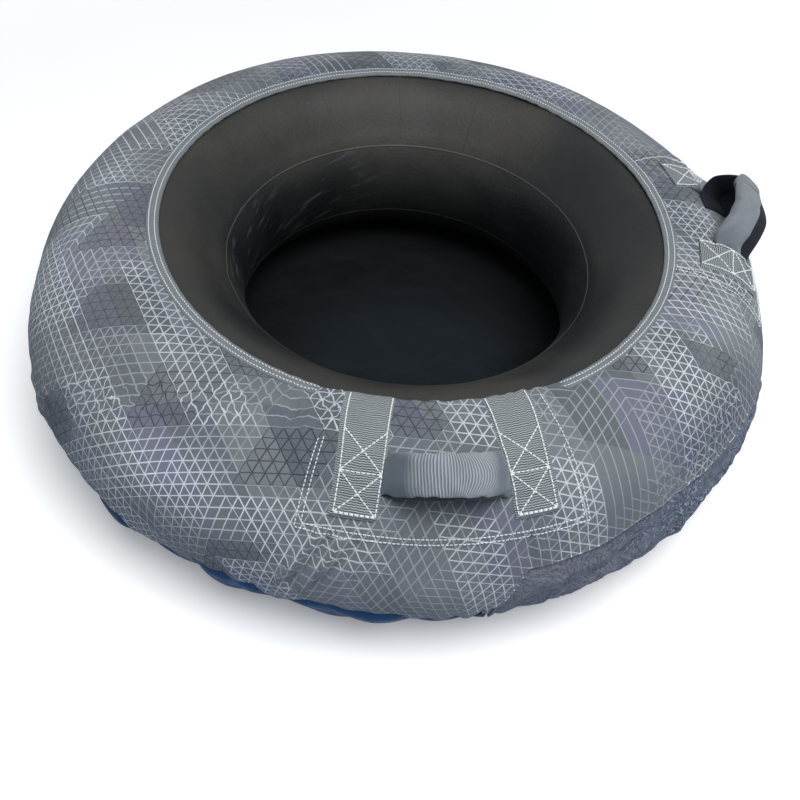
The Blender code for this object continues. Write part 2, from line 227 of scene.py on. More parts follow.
def segment_distance(azimuth, angle, first, last):
    """Metres from a segment on the ring's surface, and the share of the way along it."""
    first, last = np.radians(first), np.radians(last)
    scale = np.array([section((first[1] + last[1]) / 2, 0.0)[0], arc_radius])
    here = stacked(wrapped(azimuth - first[0]), angle - first[1]) * scale
    way = np.array([wrapped(last[0] - first[0]), last[1] - first[1]]) * scale
    share = np.clip(here @ way / (way @ way), 0.0, 1.0)
    return np.linalg.norm(here - share[..., None] * way, axis=-1), share


def creased(lift, azimuth, angle, creases, fade_in, fade_out):
    """The lift with creases added, which fade at their ends."""
    for first, last, width, height in creases:
        distance, share = segment_distance(azimuth, angle, first, last)
        ends = smooth(0.0, fade_in, share) * smooth(1.0, fade_out, share)
        lift = lift + height * ends * np.exp(-((distance / width) ** 2))
    return lift


def crumple(azimuth, angle):
    """1 in the bands of crushed cloth at the front left and on the right, 0 away from them."""
    segments = [ends for path in crumple_paths for ends in zip(path, path[1:])]
    distances = [segment_distance(azimuth, angle, *ends)[0] for ends in segments]
    return smooth(0.030, 0.010, np.minimum.reduce(distances))


def front_fold(azimuth):
    """1 where the cover is pulled over the rim at the front."""
    turn = np.degrees(wrapped(azimuth))
    return smooth(-116, -108, turn) * smooth(-62, -70, turn)


def soft_spots(azimuth, angle, spots):
    """The sum of soft round spots."""
    total = 0.0
    for middle, height, turn, rise, amount in spots:
        across = wrapped(azimuth - radians(middle)) / radians(turn)
        along = (angle - radians(height)) / radians(rise)
        total = total + amount * np.exp(-(across**2) - along**2)
    return total


def cloth_lift(azimuth, angle):
    """How far the cover stands out from a smooth ring."""
    point = place(azimuth, angle)
    lift = 0.0013 * noise(point, 0.085) + 0.0006 * noise(point + 0.3, 0.030)
    lift = lift + soft_spots(azimuth, angle, bulges)
    wander = noise(point, 0.11)
    pleat = np.abs(np.sin(27.0 * azimuth + 5.0 * wander)) - 0.4
    finer = np.sin(101.0 * azimuth + 3.0 * wander + 6.0 * angle)
    low = smooth_angle(30, -16, angle)
    lift = lift + low * (0.0042 * pleat * (0.7 + 0.5 * noise(point, 0.05)) + 0.0008 * finer)
    lift = creased(lift, azimuth, angle, folds, 0.12, 0.82)
    ridges = 1.0 - 2.2 * np.abs(noise(point + 0.7, 0.013))
    lift = lift + crumple(azimuth, angle) * (0.0024 * noise(point + 0.1, 0.020) + 0.0017 * ridges)
    front = front_fold(azimuth)
    pucker = np.sin(88.0 * azimuth + 5.0 * noise(point, 0.05)) * (0.5 + 0.7 * noise(point + 0.5, 0.05))
    lift = lift + smooth_angle(82, 97, angle) * ((0.0004 + 0.0011 * front) * pucker + 0.0012 * front)
    for middle in handles.values():
        turn = np.abs(wrapped(azimuth - middle))
        side_distance = (patch_half_turn - turn) * section(angle, 0.0)[0]
        end_distance = (angle - patch_end_angle) * arc_radius
        inside = smooth(-0.001, 0.002, side_distance) * smooth(-0.001, 0.002, end_distance)
        beside = 9.0 * (turn > patch_half_turn + 0.01)
        edge = np.minimum(np.abs(side_distance), np.abs(end_distance) + beside)
        ripple = np.sin((azimuth * 0.36 + angle * 0.129) * 2 * pi / 0.011)
        lift = lift + 0.0008 * inside + 0.0004 * ripple * np.exp(-((edge / 0.008) ** 2)) * (angle > 0.5)
    return lift


def cover_point(azimuth, angle, lift):
    return place(azimuth, angle, cloth_lift(azimuth, angle) + lift)


def flat_place(azimuth, angle):
    """Where a point of the cover lies on the flat sheet that it was cut from."""
    reach = ring_radius + arc_radius * (pi / 2 - angle)
    return stacked(reach * np.cos(azimuth), reach * np.sin(azimuth), 0.0)


def new_object(name, data):
    obj = bpy.data.objects.new(name, data)
    bpy.context.scene.collection.objects.link(obj)
    return obj


def new_piece(name, mesh, material):
    mesh.materials.append(material)
    mesh.shade_smooth()
    return new_object(name, mesh)


def mend(mesh, open_ends=False):
    """Turns a mesh's faces out, and first joins its two open ends where it has them."""
    shape = bmesh.new()
    shape.from_mesh(mesh)
    if open_ends:
        bmesh.ops.bridge_loops(shape, edges=[edge for edge in shape.edges if edge.is_boundary])
    bmesh.ops.recalc_face_normals(shape, faces=shape.faces)
    shape.to_mesh(mesh)
    shape.free()


def skin(name, points, material, fields, around=False, keep=None, closed=False):
    """Quads over a grid of points, which may run round on itself and be closed at its ends."""
    rows, columns = points.shape[:2]
    index = np.arange(rows * columns).reshape(rows, columns)
    joined = np.concatenate([index, index[:, :1]], axis=1) if around else index
    quads = np.stack([joined[:-1, :-1], joined[1:, :-1], joined[1:, 1:], joined[:-1, 1:]], axis=-1)
    quads = quads.reshape(-1, 4) if keep is None else quads[keep]
    used, quads = np.unique(quads, return_inverse=True)
    faces = quads.reshape(-1, 4).tolist()
    if closed:
        faces += [index[0].tolist(), index[-1][::-1].tolist()]
    mesh = bpy.data.meshes.new(name)
    mesh.from_pydata(points.reshape(-1, 3)[used].tolist(), [], faces)
    for field, values in fields.items():
        size = (3,) if np.ndim(values) == 3 else ()
        kind, key = ("FLOAT_VECTOR", "vector") if size else ("FLOAT", "value")
        values = np.broadcast_to(values, (rows, columns) + size).reshape((-1,) + size)[used]
        mesh.attributes.new(field, kind, "POINT").data.foreach_set(key, values.astype(np.float32).ravel())
    if closed:
        mend(mesh)
    return new_piece(name, mesh, material)


def carried(obj, body, slot, *nodes):
    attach(obj, body)
    if nodes:
        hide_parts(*nodes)
    return obj


class Nodes:
    """A node tree whose nodes are made by short calls that give back their output."""

    def __init__(self, owner):
        owner.use_nodes = True
        self.tree = owner.node_tree

    def feed(self, socket, value):
        if isinstance(value, bpy.types.NodeSocket):
            self.tree.links.new(value, socket)
        else:
            socket.default_value = value

    def add(self, kind, *values, **settings):
        node = self.tree.nodes.new("ShaderNode" + kind)
        for key, value in settings.items():
            setattr(node, key, value)
        for socket, value in zip(node.inputs, values):
            self.feed(socket, value)
        return node

    def math(self, operation, *values):
        return self.add("Math", *values, operation=operation).outputs[0]


class Look(Nodes):
    """A material, made on its main shader."""

    def __init__(self, name, colour, roughness):
        self.material = bpy.data.materials.new(name)
        super().__init__(self.material)
        self.set("Base Color", colour)
        self.set("Roughness", roughness)

    def set(self, socket, value):
        self.feed(self.tree.nodes["Principled BSDF"].inputs[socket], value)

    def times(self, product, *values):
        for value in values:
            product = self.math("MULTIPLY", product, value)
        return product

    def attribute(self, name, output="Vector"):
        return self.add("Attribute", attribute_name=name).outputs[output]

    def coordinates(self):
        return self.add("TexCoord").outputs["Object"]

    def split(self, vector):
        return self.add("SeparateXYZ", vector).outputs

    def join(self, *values):
        return self.add("CombineXYZ", *values).outputs[0]

    def noise(self, vector, scale, detail=2.0, output="Fac"):
        return self.add("TexNoise", vector, 0.0, scale, detail).outputs[output]

    def random(self, *values):
        """Three random numbers for the cell that these numbers name."""
        node = self.add("TexWhiteNoise", self.join(*values), noise_dimensions="3D")
        return self.split(node.outputs["Color"])

    def between(self, value, low, high, to_low=0.0, to_high=1.0):
        limits = (low, high, to_low, to_high)
        return self.add("MapRange", value, *limits, interpolation_type="SMOOTHSTEP").outputs[0]

    def mix(self, factor, first, second, blend="MIX"):
        node = self.add("Mix", data_type="RGBA", blend_type=blend)
        for socket, value in ((0, factor), (6, first), (7, second)):
            self.feed(node.inputs[socket], value)
        return node.outputs[2]

    def worn(self, colour, vector, *marks):
        """The colour with soft marks: the scale, the darkest and the lightest of each."""
        for scale, dark, light in marks:
            limits = [(share, share, share, 1.0) for share in (dark, light)]
            shade = self.mix(self.noise(vector, scale, 4.0), *limits)
            colour = self.mix(1.0, colour, shade, "MULTIPLY")
        return colour

    def wave(self, value, pitch):
        return self.math("SINE", self.times(value, 2 * pi / pitch))

    def weave(self, vector, pitch):
        """The height of a plain weave: two crossed waves, with threads a pitch apart."""
        along, across, _ = self.split(vector)
        return self.times(self.wave(along, pitch), self.wave(across, pitch))

    def done(self, colour, *layers):
        """The material in this colour, with bumps over one another: the height and depth of each."""
        self.set("Base Color", colour)
        under = None
        for height, depth in layers:
            node = self.add("Bump")
            for socket, value in (("Height", height), ("Distance", depth), ("Normal", under)):
                if value is not None:
                    self.feed(node.inputs[socket], value)
            under = node.outputs[0]
        self.set("Normal", under)
        return self.material

    def gloss(self, sheen, sheen_roughness, specular):
        self.set("Sheen Weight", sheen)
        self.set("Sheen Roughness", sheen_roughness)
        self.set("Specular IOR Level", specular)


def printed_cloth():
    """Thin lines along the three directions of a triangle lattice, faint, dark or white by patches, under
    soft spots of painted light and shade.
    """
    look = Look("Printed cloth", rgb(124, 132, 136), 0.72)
    sheet = look.attribute("cloth")
    cloud = look.noise(sheet, 90.0, output="Color")
    shift = look.add("VectorMath", cloud, (0.5, 0.5, 0.5), operation="SUBTRACT")
    scaled = look.add("VectorMath", shift.outputs[0], operation="SCALE")
    crushed = look.attribute("crumple", "Fac")
    look.feed(scaled.inputs["Scale"], look.math("MULTIPLY_ADD", crushed, 0.0080, 0.0010))
    x, y, _ = look.split(look.add("VectorMath", sheet, scaled.outputs[0], operation="ADD").outputs[0])
    height = triangle_side * sqrt(3) / 2
    rows, lines = [], []
    for turn in (0, -60, 60):
        direction = pi / 2 + print_turn + radians(turn)
        part = look.times(x, cos(direction) / height)
        rows.append(look.math("MULTIPLY_ADD", y, sin(direction) / height, part))
        distance = look.math("PINGPONG", rows[-1], 0.5)
        lines.append(look.between(distance, line_share + 0.018, line_share - 0.012))
    level, rising, falling = rows

    def patches(first, first_size, second, second_size, seed):
        """Random numbers for patches that are so many rows long and wide."""
        first = look.math("FLOOR", look.math("DIVIDE", first, first_size))
        second = look.math("FLOOR", look.math("DIVIDE", second, second_size))
        return look.random(first, second, seed)

    def drawn(chances, least):
        """The lines of the directions whose random number is over the least one."""
        total = 0.0
        for line, chance in zip(lines, chances):
            shown = look.times(line, look.math("GREATER_THAN", chance, least))
            total = look.math("MAXIMUM", total, shown)
        return total

    plain = patches(rising, 6.0, falling, 5.0, 3.0)
    tone = patches(level, 7.0, rising, 4.0, 8.0)
    dark = patches(level, 5.0, falling, 6.0, 12.0)
    white = patches(rising, 5.0, level, 6.0, 21.0)
    grey = look.mix(tone[0], rgb(98, 105, 110), rgb(126, 132, 137))
    ground = look.mix(look.between(tone[1], 0.55, 1.0, 0.0, 0.75), grey, rgb(110, 111, 132))
    ground = look.worn(ground, sheet, (7.0, 0.72, 1.26), (160.0, 0.93, 1.07))
    # The shade attribute holds painted light and shade: 1 is none, lower is painted shade, higher is painted
    # light
    shade = look.math("SUBTRACT", 1.0, look.attribute("shade", "Fac"))
    # Painted light also whitens the faint lines
    faint = look.mix(look.between(shade, 0.0, -0.6), rgb(176, 182, 187), rgb(216, 221, 228))
    colour = look.mix(look.times(drawn(plain, 0.24), 0.72), ground, faint)
    for chances, least, chosen, share, strength, tint in (
        (dark, 0.06, dark[1], 0.27, 0.88, rgb(44, 48, 60)),
        (white, 0.12, white[2], 0.38, 0.9, rgb(212, 217, 224)),
    ):
        inside = look.math("LESS_THAN", chosen, share)
        colour = look.mix(look.times(drawn(chances, least), inside, strength), colour, tint)
    # Painted shade: the print darker and bluer
    painted_shade = look.mix(1.0, colour, (0.30, 0.36, 0.48, 1.0), "MULTIPLY")
    colour = look.mix(look.times(shade, 1.3), colour, painted_shade)
    # Painted light: the print paler
    pale = look.mix(1.0, colour, (1.55, 1.55, 1.58, 1.0), "MULTIPLY")
    colour = look.mix(look.times(shade, -1.0), colour, pale)
    look.gloss(0.08, 0.45, 0.25)
    return look.done(colour, (look.weave(sheet, 0.0011), 0.00025), (look.noise(sheet, 260.0, 3.0), 0.0008))


def plain_cloth(name, colour, field, roughness, crease, thread, sheen):
    """Unprinted cloth: a fine weave, creases and soft patches of wear, and painted shade where an attribute
    of the mesh asks for it.
    """
    look = Look(name, colour, roughness)
    vector = look.attribute(field)
    worn = look.worn(colour, vector, (14.0, 0.80, 1.18), (420.0, 0.88, 1.12))
    # Painted shade: near black where the mesh asks for it, as at the well floor's edge
    colour = look.mix(look.attribute("painted_shade", "Fac"), worn, rgb(2, 5, 10))
    look.gloss(sheen, 0.4, 0.12)
    creases = (look.noise(vector, 46.0, 5.0), crease)
    return look.done(colour, (look.weave(vector, thread), thread / 5), creases)


def crushed_cloth():
    """The gusset's thin cloth, crushed: fine pale and dark lines over a mottled ground, the pale ones painted
    highlights on its ridges and the dark ones painted shade in its creases.
    """
    look = Look("Crushed cloth", rgb(84, 96, 118), 0.62)
    sheet = look.attribute("cloth")
    marks = look.noise(sheet, 11.0, 5.0)
    x, y, _ = look.split(sheet)
    far = look.between(look.math("ARCTAN2", y, x), -1.22, -0.80)
    light = look.mix(far, rgb(124, 126, 140), rgb(100, 114, 132))
    ground = look.mix(far, rgb(92, 96, 116), rgb(48, 64, 98))
    ground = look.mix(look.between(marks, 0.3, 0.7), ground, light)
    ridges, valleys = (
        look.math("ABSOLUTE", look.math("SUBTRACT", look.noise(sheet, scale, 4.0), middle))
        for scale, middle in ((150.0, 0.5), (110.0, 0.46))
    )
    # Painted highlights: pale lines along the raised ridges
    pale = look.times(look.between(ridges, 0.044, 0.008), look.between(marks, 0.72, 0.44))
    pale = look.times(pale, look.math("MULTIPLY_ADD", far, 0.65, 0.35))
    # Painted shade: dark lines in the creases
    colour = look.mix(look.times(look.between(valleys, 0.050, 0.010), 0.6), ground, rgb(34, 42, 62))
    colour = look.mix(pale, colour, rgb(184, 195, 208))
    look.gloss(0.1, 0.4, 0.35)
    creases = (look.noise(sheet, 70.0, 5.0), 0.006)
    raised = (look.between(ridges, 0.06, 0.0), 0.0010)
    return look.done(colour, (look.weave(sheet, 0.0011), 0.0002), creases, raised)


def slick_sheet():
    """Glossy coated sheet with long soft creases."""
    look = Look("Slick sheet", rgb(10, 50, 90), 0.45)
    sheet = look.attribute("cloth")
    colour = look.mix(look.noise(sheet, 9.0, 5.0), rgb(1, 24, 54), rgb(10, 74, 122))
    look.set("Roughness", look.between(look.noise(sheet, 60.0, 4.0), 0.3, 0.7, 0.34, 0.55))
    look.set("Specular IOR Level", 0.2)
    look.set("Coat Weight", 0.06)
    look.set("Coat Roughness", 0.12)
    return look.done(colour, (look.weave(sheet, 0.0016), 0.00006), (look.noise(sheet, 30.0, 5.0), 0.0035))


def webbing(name, ground, ridge, pitch, depth):
    """Woven strap: wandering ribs across it, bent to and fro, with the grooves between them painted darker as
    shade.
    """
    look = Look(name, ridge, 0.7)
    vector = look.attribute("web")
    across, along, _ = look.split(vector)
    bend = look.times(look.math("PINGPONG", across, 0.0025), 0.22)
    wander = look.times(look.noise(vector, 90.0), 0.0022)
    position = look.math("ADD", look.math("ADD", along, bend), wander)
    # Painted shade: the ground colour in the grooves between the ribs, the ridge colour on their tops
    shade = look.between(look.wave(position, pitch), -0.8, 0.7)
    colour = look.worn(look.mix(shade, ground, ridge), vector, (700.0, 0.82, 1.14), (30.0, 0.86, 1.12))
    look.gloss(0.1, 0.4, 0.25)
    return look.done(colour, (look.noise(vector, 900.0), 0.0003), (shade, depth))


def ribbed_sleeve():
    """Sleeve cloth that is smooth and darker at its ends, with fine pale ribs over its middle: the darker
    ends are painted shade on the arch's legs, the paler middle painted light on its top, and the gaps between
    the ribs painted shade.
    """
    look = Look("Ribbed sleeve cloth", rgb(118, 125, 132), 0.68)
    vector = look.attribute("web")
    across, along, _ = look.split(vector)
    bow = look.times(across, across, 26.0, look.between(along, -0.012, 0.030))
    wander = look.times(look.noise(vector, 40.0), 0.003)
    position = look.math("ADD", look.math("ADD", along, bow), wander)
    ribs = look.between(look.wave(position, 0.0024), -0.5, 0.6)
    middle = look.between(look.math("ABSOLUTE", along), 0.040, 0.024)
    # Painted shade and light: darker ends on the arch's legs, a paler middle on its top
    base = look.mix(middle, rgb(88, 100, 111), rgb(122, 129, 138))
    shown = look.times(ribs, middle)
    striped = look.mix(shown, base, rgb(168, 173, 180))
    # Painted shade in the gaps between the ribs
    shaded = look.times(look.math("SUBTRACT", 1.0, ribs), look.times(middle, 0.4))
    colour = look.worn(look.mix(shaded, striped, rgb(96, 102, 110)), vector, (35.0, 0.84, 1.14))
    look.gloss(0.2, 0.4, 0.5)
    return look.done(colour, (look.weave(vector, 0.0010), 0.0002), (shown, 0.0005))


def rubber():
    """Black butyl: a paler brown bloom where it faces up, more at the back, partly dust and partly painted
    sheen; fine mould lines, pale streaks, and ridges painted paler as highlights.
    """
    look = Look("Butyl rubber", rgb(44, 48, 50), 0.5)
    coordinates = look.coordinates()
    x, y, z = look.split(coordinates)
    facing = look.split(look.add("NewGeometry").outputs["Normal"])[2]
    cloud = look.noise(coordinates, 6.0, 6.0)
    specks = look.noise(coordinates, 240.0, 3.0)
    # Dust and painted sheen: paler brown where the rubber faces up, more towards the back
    dust_and_sheen = look.times(look.between(facing, 0.0, 0.95), look.between(cloud, 0.3, 0.75))
    dust_and_sheen = look.times(dust_and_sheen, look.between(specks, 0.25, 0.7, 0.55, 1.0))
    dust_and_sheen = look.times(dust_and_sheen, look.between(y, -0.05, 0.20, 0.28, 0.46))
    dull = look.mix(look.between(cloud, 0.3, 0.7), rgb(15, 19, 22), rgb(33, 35, 34))
    colour = look.mix(dust_and_sheen, dull, rgb(74, 70, 61))
    turn = look.math("ARCTAN2", y, x)
    wander = look.times(look.noise(coordinates, 14.0), 0.03)
    lines = look.math("PINGPONG", look.times(look.math("ADD", turn, wander), 8 / pi), 0.5)
    upper = look.times(look.between(z, 0.180, 0.195), look.between(z, 0.246, 0.232))
    lines = look.times(look.between(lines, 0.012, 0.004), upper, 0.55)
    colour = look.mix(lines, colour, rgb(20, 21, 22))
    lean = look.math("MULTIPLY_ADD", turn, 1.6, look.times(z, 30.0))
    streaks = look.noise(look.join(look.times(turn, 1.3), lean, 0.3), 4.2, 6.0)
    streaks = look.times(look.between(streaks, 0.56, 0.72), look.between(z, 0.200, 0.170))
    streaks = look.times(streaks, look.between(x, 0.0, -0.12, 0.12, 1.0), 0.42)
    colour = look.mix(streaks, colour, rgb(88, 92, 96))
    # Painted highlight: the raised mould rings painted paler
    ridge = look.times(look.attribute("ridge", "Fac"), 0.45)
    look.set("Roughness", look.between(cloud, 0.25, 0.75, 0.42, 0.62))
    look.set("Specular IOR Level", 0.26)
    return look.done(look.mix(ridge, colour, rgb(92, 95, 92)), (specks, 0.0003), (cloud, 0.004))


def grained(name, colour, dark, light, scale, detail, depth, roughness, spread=None, metallic=0.0):
    """Metal, plastic or thread with fine marks in its colour and relief, and over a spread of roughness."""
    look = Look(name, colour, roughness)
    marks = look.noise(look.coordinates(), scale, detail)
    look.set("Metallic", metallic)
    if spread:
        look.set("Roughness", look.between(marks, 0.3, 0.7, *spread))
    return look.done(look.mix(marks, dark, light), (marks, depth))


def make_cover(material):
    """One printed sheet over the top, gathered at the hem, cut away above the gusset."""
    azimuth = circle(cover_columns)
    rim = rim_angle + np.radians(-0.6 + 1.4 * front_fold(azimuth))
    edge = by_azimuth(azimuth, edge_table)
    scallop = np.radians(1.1) * np.sin(31.0 * azimuth + 4.0 * np.sin(5.0 * azimuth))
    hem = by_azimuth(azimuth, hem_table) + scallop
    upper = rim + (edge - rim) * np.linspace(0.0, 1.0, upper_rows)[:, None]
    lower = edge + (hem - edge) * np.linspace(0.0, 1.0, lower_rows)[1:, None]
    angles = np.concatenate([upper, lower])
    lifts = cloth_lift(azimuth, angles)
    under_rim = np.array([(-0.030, -0.0030), (0.004, -0.0020), (0.007, -0.0004)])[..., None]
    under_hem = np.array([(-0.006, -0.0004), (-0.003, -0.0022), (0.040, -0.0034)])[..., None]
    lifts = np.concatenate([lifts[0] + under_rim[:, 1], lifts, lifts[-1] + under_hem[:, 1]])
    angles = np.concatenate([rim + under_rim[:, 0], angles, hem + under_hem[:, 0]])
    keep = np.ones((angles.shape[0] - 1, cover_columns), bool)
    keep[len(under_rim) + upper_rows - 1 :, np.arange(*notch_columns) % cover_columns] = False
    fields = {"cloth": flat_place(azimuth, angles), "crumple": crumple(azimuth, angles)}
    # The print's painted light and shade
    fields["shade"] = 1.0 - soft_spots(azimuth, angles, painted_light_and_shade)
    points = place(azimuth, angles, lifts)
    cover = skin("Cover", points, material, fields, around=True, keep=keep)
    carried(cover, "ring", "printed_cloth", "top_panel", "front_reinforcement", "side_reinforcement")


def make_gusset(material):
    """The plain wrinkled side piece, from under the cover's edge down to the hem."""
    azimuth = np.linspace(*np.radians([-84.4, 97.2]), 430)
    edge = by_azimuth(azimuth, edge_table) + radians(4)
    hem = np.radians(-29.5 + 1.5 * np.sin(29.0 * azimuth))
    angles = edge + (hem - edge) * np.linspace(0.0, 1.0, 34)[:, None]
    point = place(azimuth, angles)
    ridges = 1.0 - 2.4 * np.abs(noise(point + 0.2, 0.034))
    pleat = np.abs(np.sin(40.0 * azimuth + 3.0 * noise(point, 0.08))) - 0.4
    low = smooth_angle(24, -20, angles)
    lift = -0.0022 + 0.0022 * ridges + 0.0014 * noise(point, 0.010) + 0.0026 * low * pleat
    lift = creased(lift, azimuth, angles, gusset_creases, 0.1, 0.8)
    covered = smooth(edge - radians(8), edge - radians(4), angles)
    lift = np.maximum(lift, -0.0068) * (1.0 - covered) - 0.0052 * covered
    lift = lift + soft_spots(azimuth, angles, bulges)
    fields = {"cloth": flat_place(azimuth, angles)}
    gusset = skin("Side_gusset", place(azimuth, angles, lift), material, fields)
    carried(gusset, "ring", "plain_cloth", "side_gusset")


def make_base(material):
    """The slick sheet under the ring, pulled up round it to the cover's gathered hem."""
    azimuth = circle(560)
    angles = np.radians(np.concatenate([np.linspace(6, -78, 44), np.linspace(-81, -90, 4)]))[:, None]
    point = place(azimuth, angles)
    pleat = np.abs(np.sin(23.0 * azimuth + 2.0 * noise(point, 0.14))) - 0.5
    low = smooth_angle(2, -20, angles) * smooth_angle(-76, -40, angles)
    swell = 0.0
    for middle, half_turn, amount in swells:
        across = wrapped(azimuth - radians(middle)) / radians(half_turn)
        swell = swell + amount * np.exp(-(across**4))
    bare = low * (0.0010 + 0.0036 * pleat + 0.0012 * noise(point, 0.03) + swell)
    hem = by_azimuth(azimuth, hem_table)
    tucked = smooth(hem - radians(5.0), hem + radians(0.5), angles)
    turn = np.degrees(wrapped(azimuth))
    behind = smooth(-84.0, -82.0, turn) * smooth(97.0, 95.0, turn)
    bulge = soft_spots(azimuth, angles, bulges)
    under_cover = np.minimum(cloth_lift(azimuth, angles), 0.0) - 0.0045
    under_gusset = np.minimum(bulge, 0.0) - 0.0075
    tuck = under_cover * (1.0 - behind) + under_gusset * behind
    lift = bare * (1.0 - tucked) * (1.0 - 0.5 * behind) + tucked * tuck - 0.0006
    side = place(azimuth, angles, lift + bulge * (1.0 - tucked))
    middle = side[-1:] * np.linspace(1.0, 0.0, 24)[1:-1, None, None]
    middle[..., 2] = 0.0006
    points = np.concatenate([side, middle, middle[-1:] * 0.02])
    field = points * np.array([1.0, 1.0, 0.0])
    field[: len(angles)] = flat_place(azimuth, angles)
    base = skin("Slick_base", points, material, {"cloth": field}, around=True)
    carried(base, "ring", "slick_sheet", "base_panel", "base_sidewall")


def make_seat(material):
    """The cloth floor of the well, slack and softly creased, painted darker towards its edge as shade."""
    azimuth = circle(240)
    reach = np.linspace(0.0005, 0.300, 90)[:, None]
    x, y = reach * np.cos(azimuth), reach * np.sin(azimuth)
    point = stacked(x, y, 0.0)
    slack = smooth(0.262, 0.215, np.hypot(x, y))
    creases = 1.0 - 2.0 * np.abs(noise(point, 0.070))
    height = 0.0019 + slack * (0.0042 + 0.0030 * creases + 0.0014 * noise(point, 0.026))
    # Painted shade: near black towards the edge, most at the back, where the tube's wall shades the floor
    fields = {"cloth": point, "painted_shade": 0.92 * smooth(0.09, 0.235, np.hypot(x - 0.01, y + 0.055))}
    seat = skin("Well_floor", stacked(x, y, height), material, fields, around=True)
    carried(seat, "ring", "liner", "seat_panel")


def make_tube(material):
    """The rubber ring, bare inside the well, with two raised mould rings on its wall."""
    azimuth = circle(360)
    ridges = (147.2, 200.5)
    turns = [np.arange(92, 286, 1.0), np.arange(290, 446, 6.0)]
    turns += [np.arange(-2.0, 2.01, 0.25) + middle for middle in ridges]
    angles = np.radians(np.unique(np.concatenate(turns)))[:, None]
    point = place(azimuth, angles)
    bare = smooth_angle(92, 98, angles) * smooth_angle(288, 276, angles)
    sunk = 0.0085
    lift = (sunk - tube_depth) * bare - sunk + soft_spots(azimuth, wrapped(angles), bulges)
    lift = lift + bare * (0.0012 * noise(point, 0.10) + 0.0004 * noise(point, 0.035))
    slack = smooth_angle(100, 138, angles) * smooth_angle(264, 238, angles)
    beside = wrapped(azimuth - handles["front_handle"]) / radians(13)
    from_valve = np.hypot(beside, (angles - valve_angle) / radians(18))
    slack = slack * (1.0 - smooth(1.9, 1.0, from_valve))
    lift = lift - slack * (0.0105 + 0.0030 * np.cos(azimuth - radians(135)))
    raised = sum(np.exp(-(((angles - radians(middle)) / 0.0070) ** 2)) for middle in ridges)
    lift = creased(lift + 0.0005 * raised, azimuth, angles, tube_creases, 0.2, 0.7)
    points = place(azimuth, angles, lift)[::-1]
    tube = skin("Inner_tube", points, material, {"ridge": raised[::-1]}, around=True)
    mend(tube.data, open_ends=True)
    tube.data.shade_smooth()
    carried(tube, "ring", "rubber", "inner_tube")


def make_binding(material):
    """Woven tape folded over the cover's inner edge, rolled under where the cover is pulled over it."""
    profile = np.array([
        (0.0120, -0.0002), (0.0122, 0.0008), (0.0112, 0.0015), (0.0090, 0.0015), (0.0075, 0.0020),
        (0.0050, 0.0020), (0.0033, 0.0015), (0.0012, 0.0018), (-0.0008, 0.0014), (-0.0018, 0.0004),
        (-0.0018, -0.0012), (-0.0008, -0.0021), (0.0040, -0.0022), (0.0060, -0.0021), (0.0040, -0.0008),
        (0.0120, -0.0002),
    ])
    azimuth = circle(720)
    offset = profile[:, :1]
    angle = rim_angle - offset / section_half_width
    ripple = 0.0003 * np.sin(93.0 * azimuth + 2.0 * np.sin(7.0 * azimuth)) * (offset < 0.004)
    lift = profile[:, 1:] + cloth_lift(azimuth, angle) + ripple - 0.0052 * front_fold(azimuth)
    fields = {"web": stacked(offset, azimuth * rim_radius, lift)}
    tape = skin("Rim_binding", place(azimuth, angle, lift), material, fields, around=True)
    carried(tape, "ring", "binding_tape", "rim_binding")


def strap_turns(azimuth, side, across, angle):
    """Azimuth of a place across a strap, which is a little wider and farther out at the rim."""
    top = smooth_angle(58, 96, angle)
    across = across * (1.0 + 0.07 * top) + side * 0.0040 * top
    return azimuth + side * strap_turn + np.arcsin(across / section(angle, 0.0)[0])


def strap_place(azimuth, side, across, angle, lift):
    """A point on a strap's face, which is higher where the handle's end lies under it."""
    turn = strap_turns(azimuth, side, across, angle)
    over = 0.0028 * smooth_angle(12, 7, np.abs(angle - hinge_angle))
    return cover_point(turn, angle, over * (1.0 - smooth(-0.016, 0.004, side * across)) + lift)


def strap_fold(angle, end):
    """The extra height where a strap's lower end is folded under."""
    fold = 0.0014 * smooth_angle(end + 5.0, end + 3.0, angle)
    return fold * smooth_angle(end - 0.2, end + 0.9, angle)


def make_strap(name, node, azimuth, side, start, end, material):
    """A ribbed strap with a soft edge and its lower end folded under."""
    half = strap_width / 2
    face = np.linspace(-half, half, 15)
    across = np.concatenate([face, np.linspace(half, -half, len(face))])
    crown = np.sqrt(np.clip(1.0 - (np.abs(across) / half) ** 8, 0.0, 1.0))
    height = crown * np.repeat([strap_thickness, -0.0010], len(face)) + 0.0004
    angles = np.radians(np.linspace(start, end, 56))[:, None]
    wave = 0.0004 * np.sin(angles * 60.0 + across * 90.0)
    sway = 0.0006 * noise(place(azimuth + side * 0.2, angles) * 3.0, 0.05)
    lift = height + (strap_fold(angles, end) + wave) * (height > 0)
    points = strap_place(azimuth, side, across + sway, angles, lift)
    fields = {"web": stacked(across, (radians(start) - angles) * arc_radius, height)}
    strap = skin(name, points, material, fields, around=True, closed=True)
    carried(strap, "ring", "grey_webbing", node)


def arch_rise(share):
    return np.maximum(0.0, 1.0 - np.abs(share) ** arch_power)


def even_arch(share):
    return handle_reach * share, handle_rise * arch_rise(share) ** arch_ease


def slack_arch(share):
    """The side handle's band: an arch whose bare half sags outwards, then folds back along the cover."""
    x, z = even_arch(share)
    top = slack_top * handle_rise
    way = np.clip(share / slack_end, 0.0, 1.0)[..., None]
    knots = [(0.0, top), (0.034, top + 0.010), (0.017, top - 0.016), (0.088, 0.0155), (0.017, 0.001)]
    powers = np.arange(len(knots))
    weights = np.array([1, 4, 6, 4, 1]) * way**powers * (1.0 - way) ** powers[::-1]
    x_far, z_far = np.moveaxis(weights @ np.array(knots), -1, 0)
    return np.where(share < 0.0, x, x_far), np.where(share < 0.0, slack_top * z, z_far)


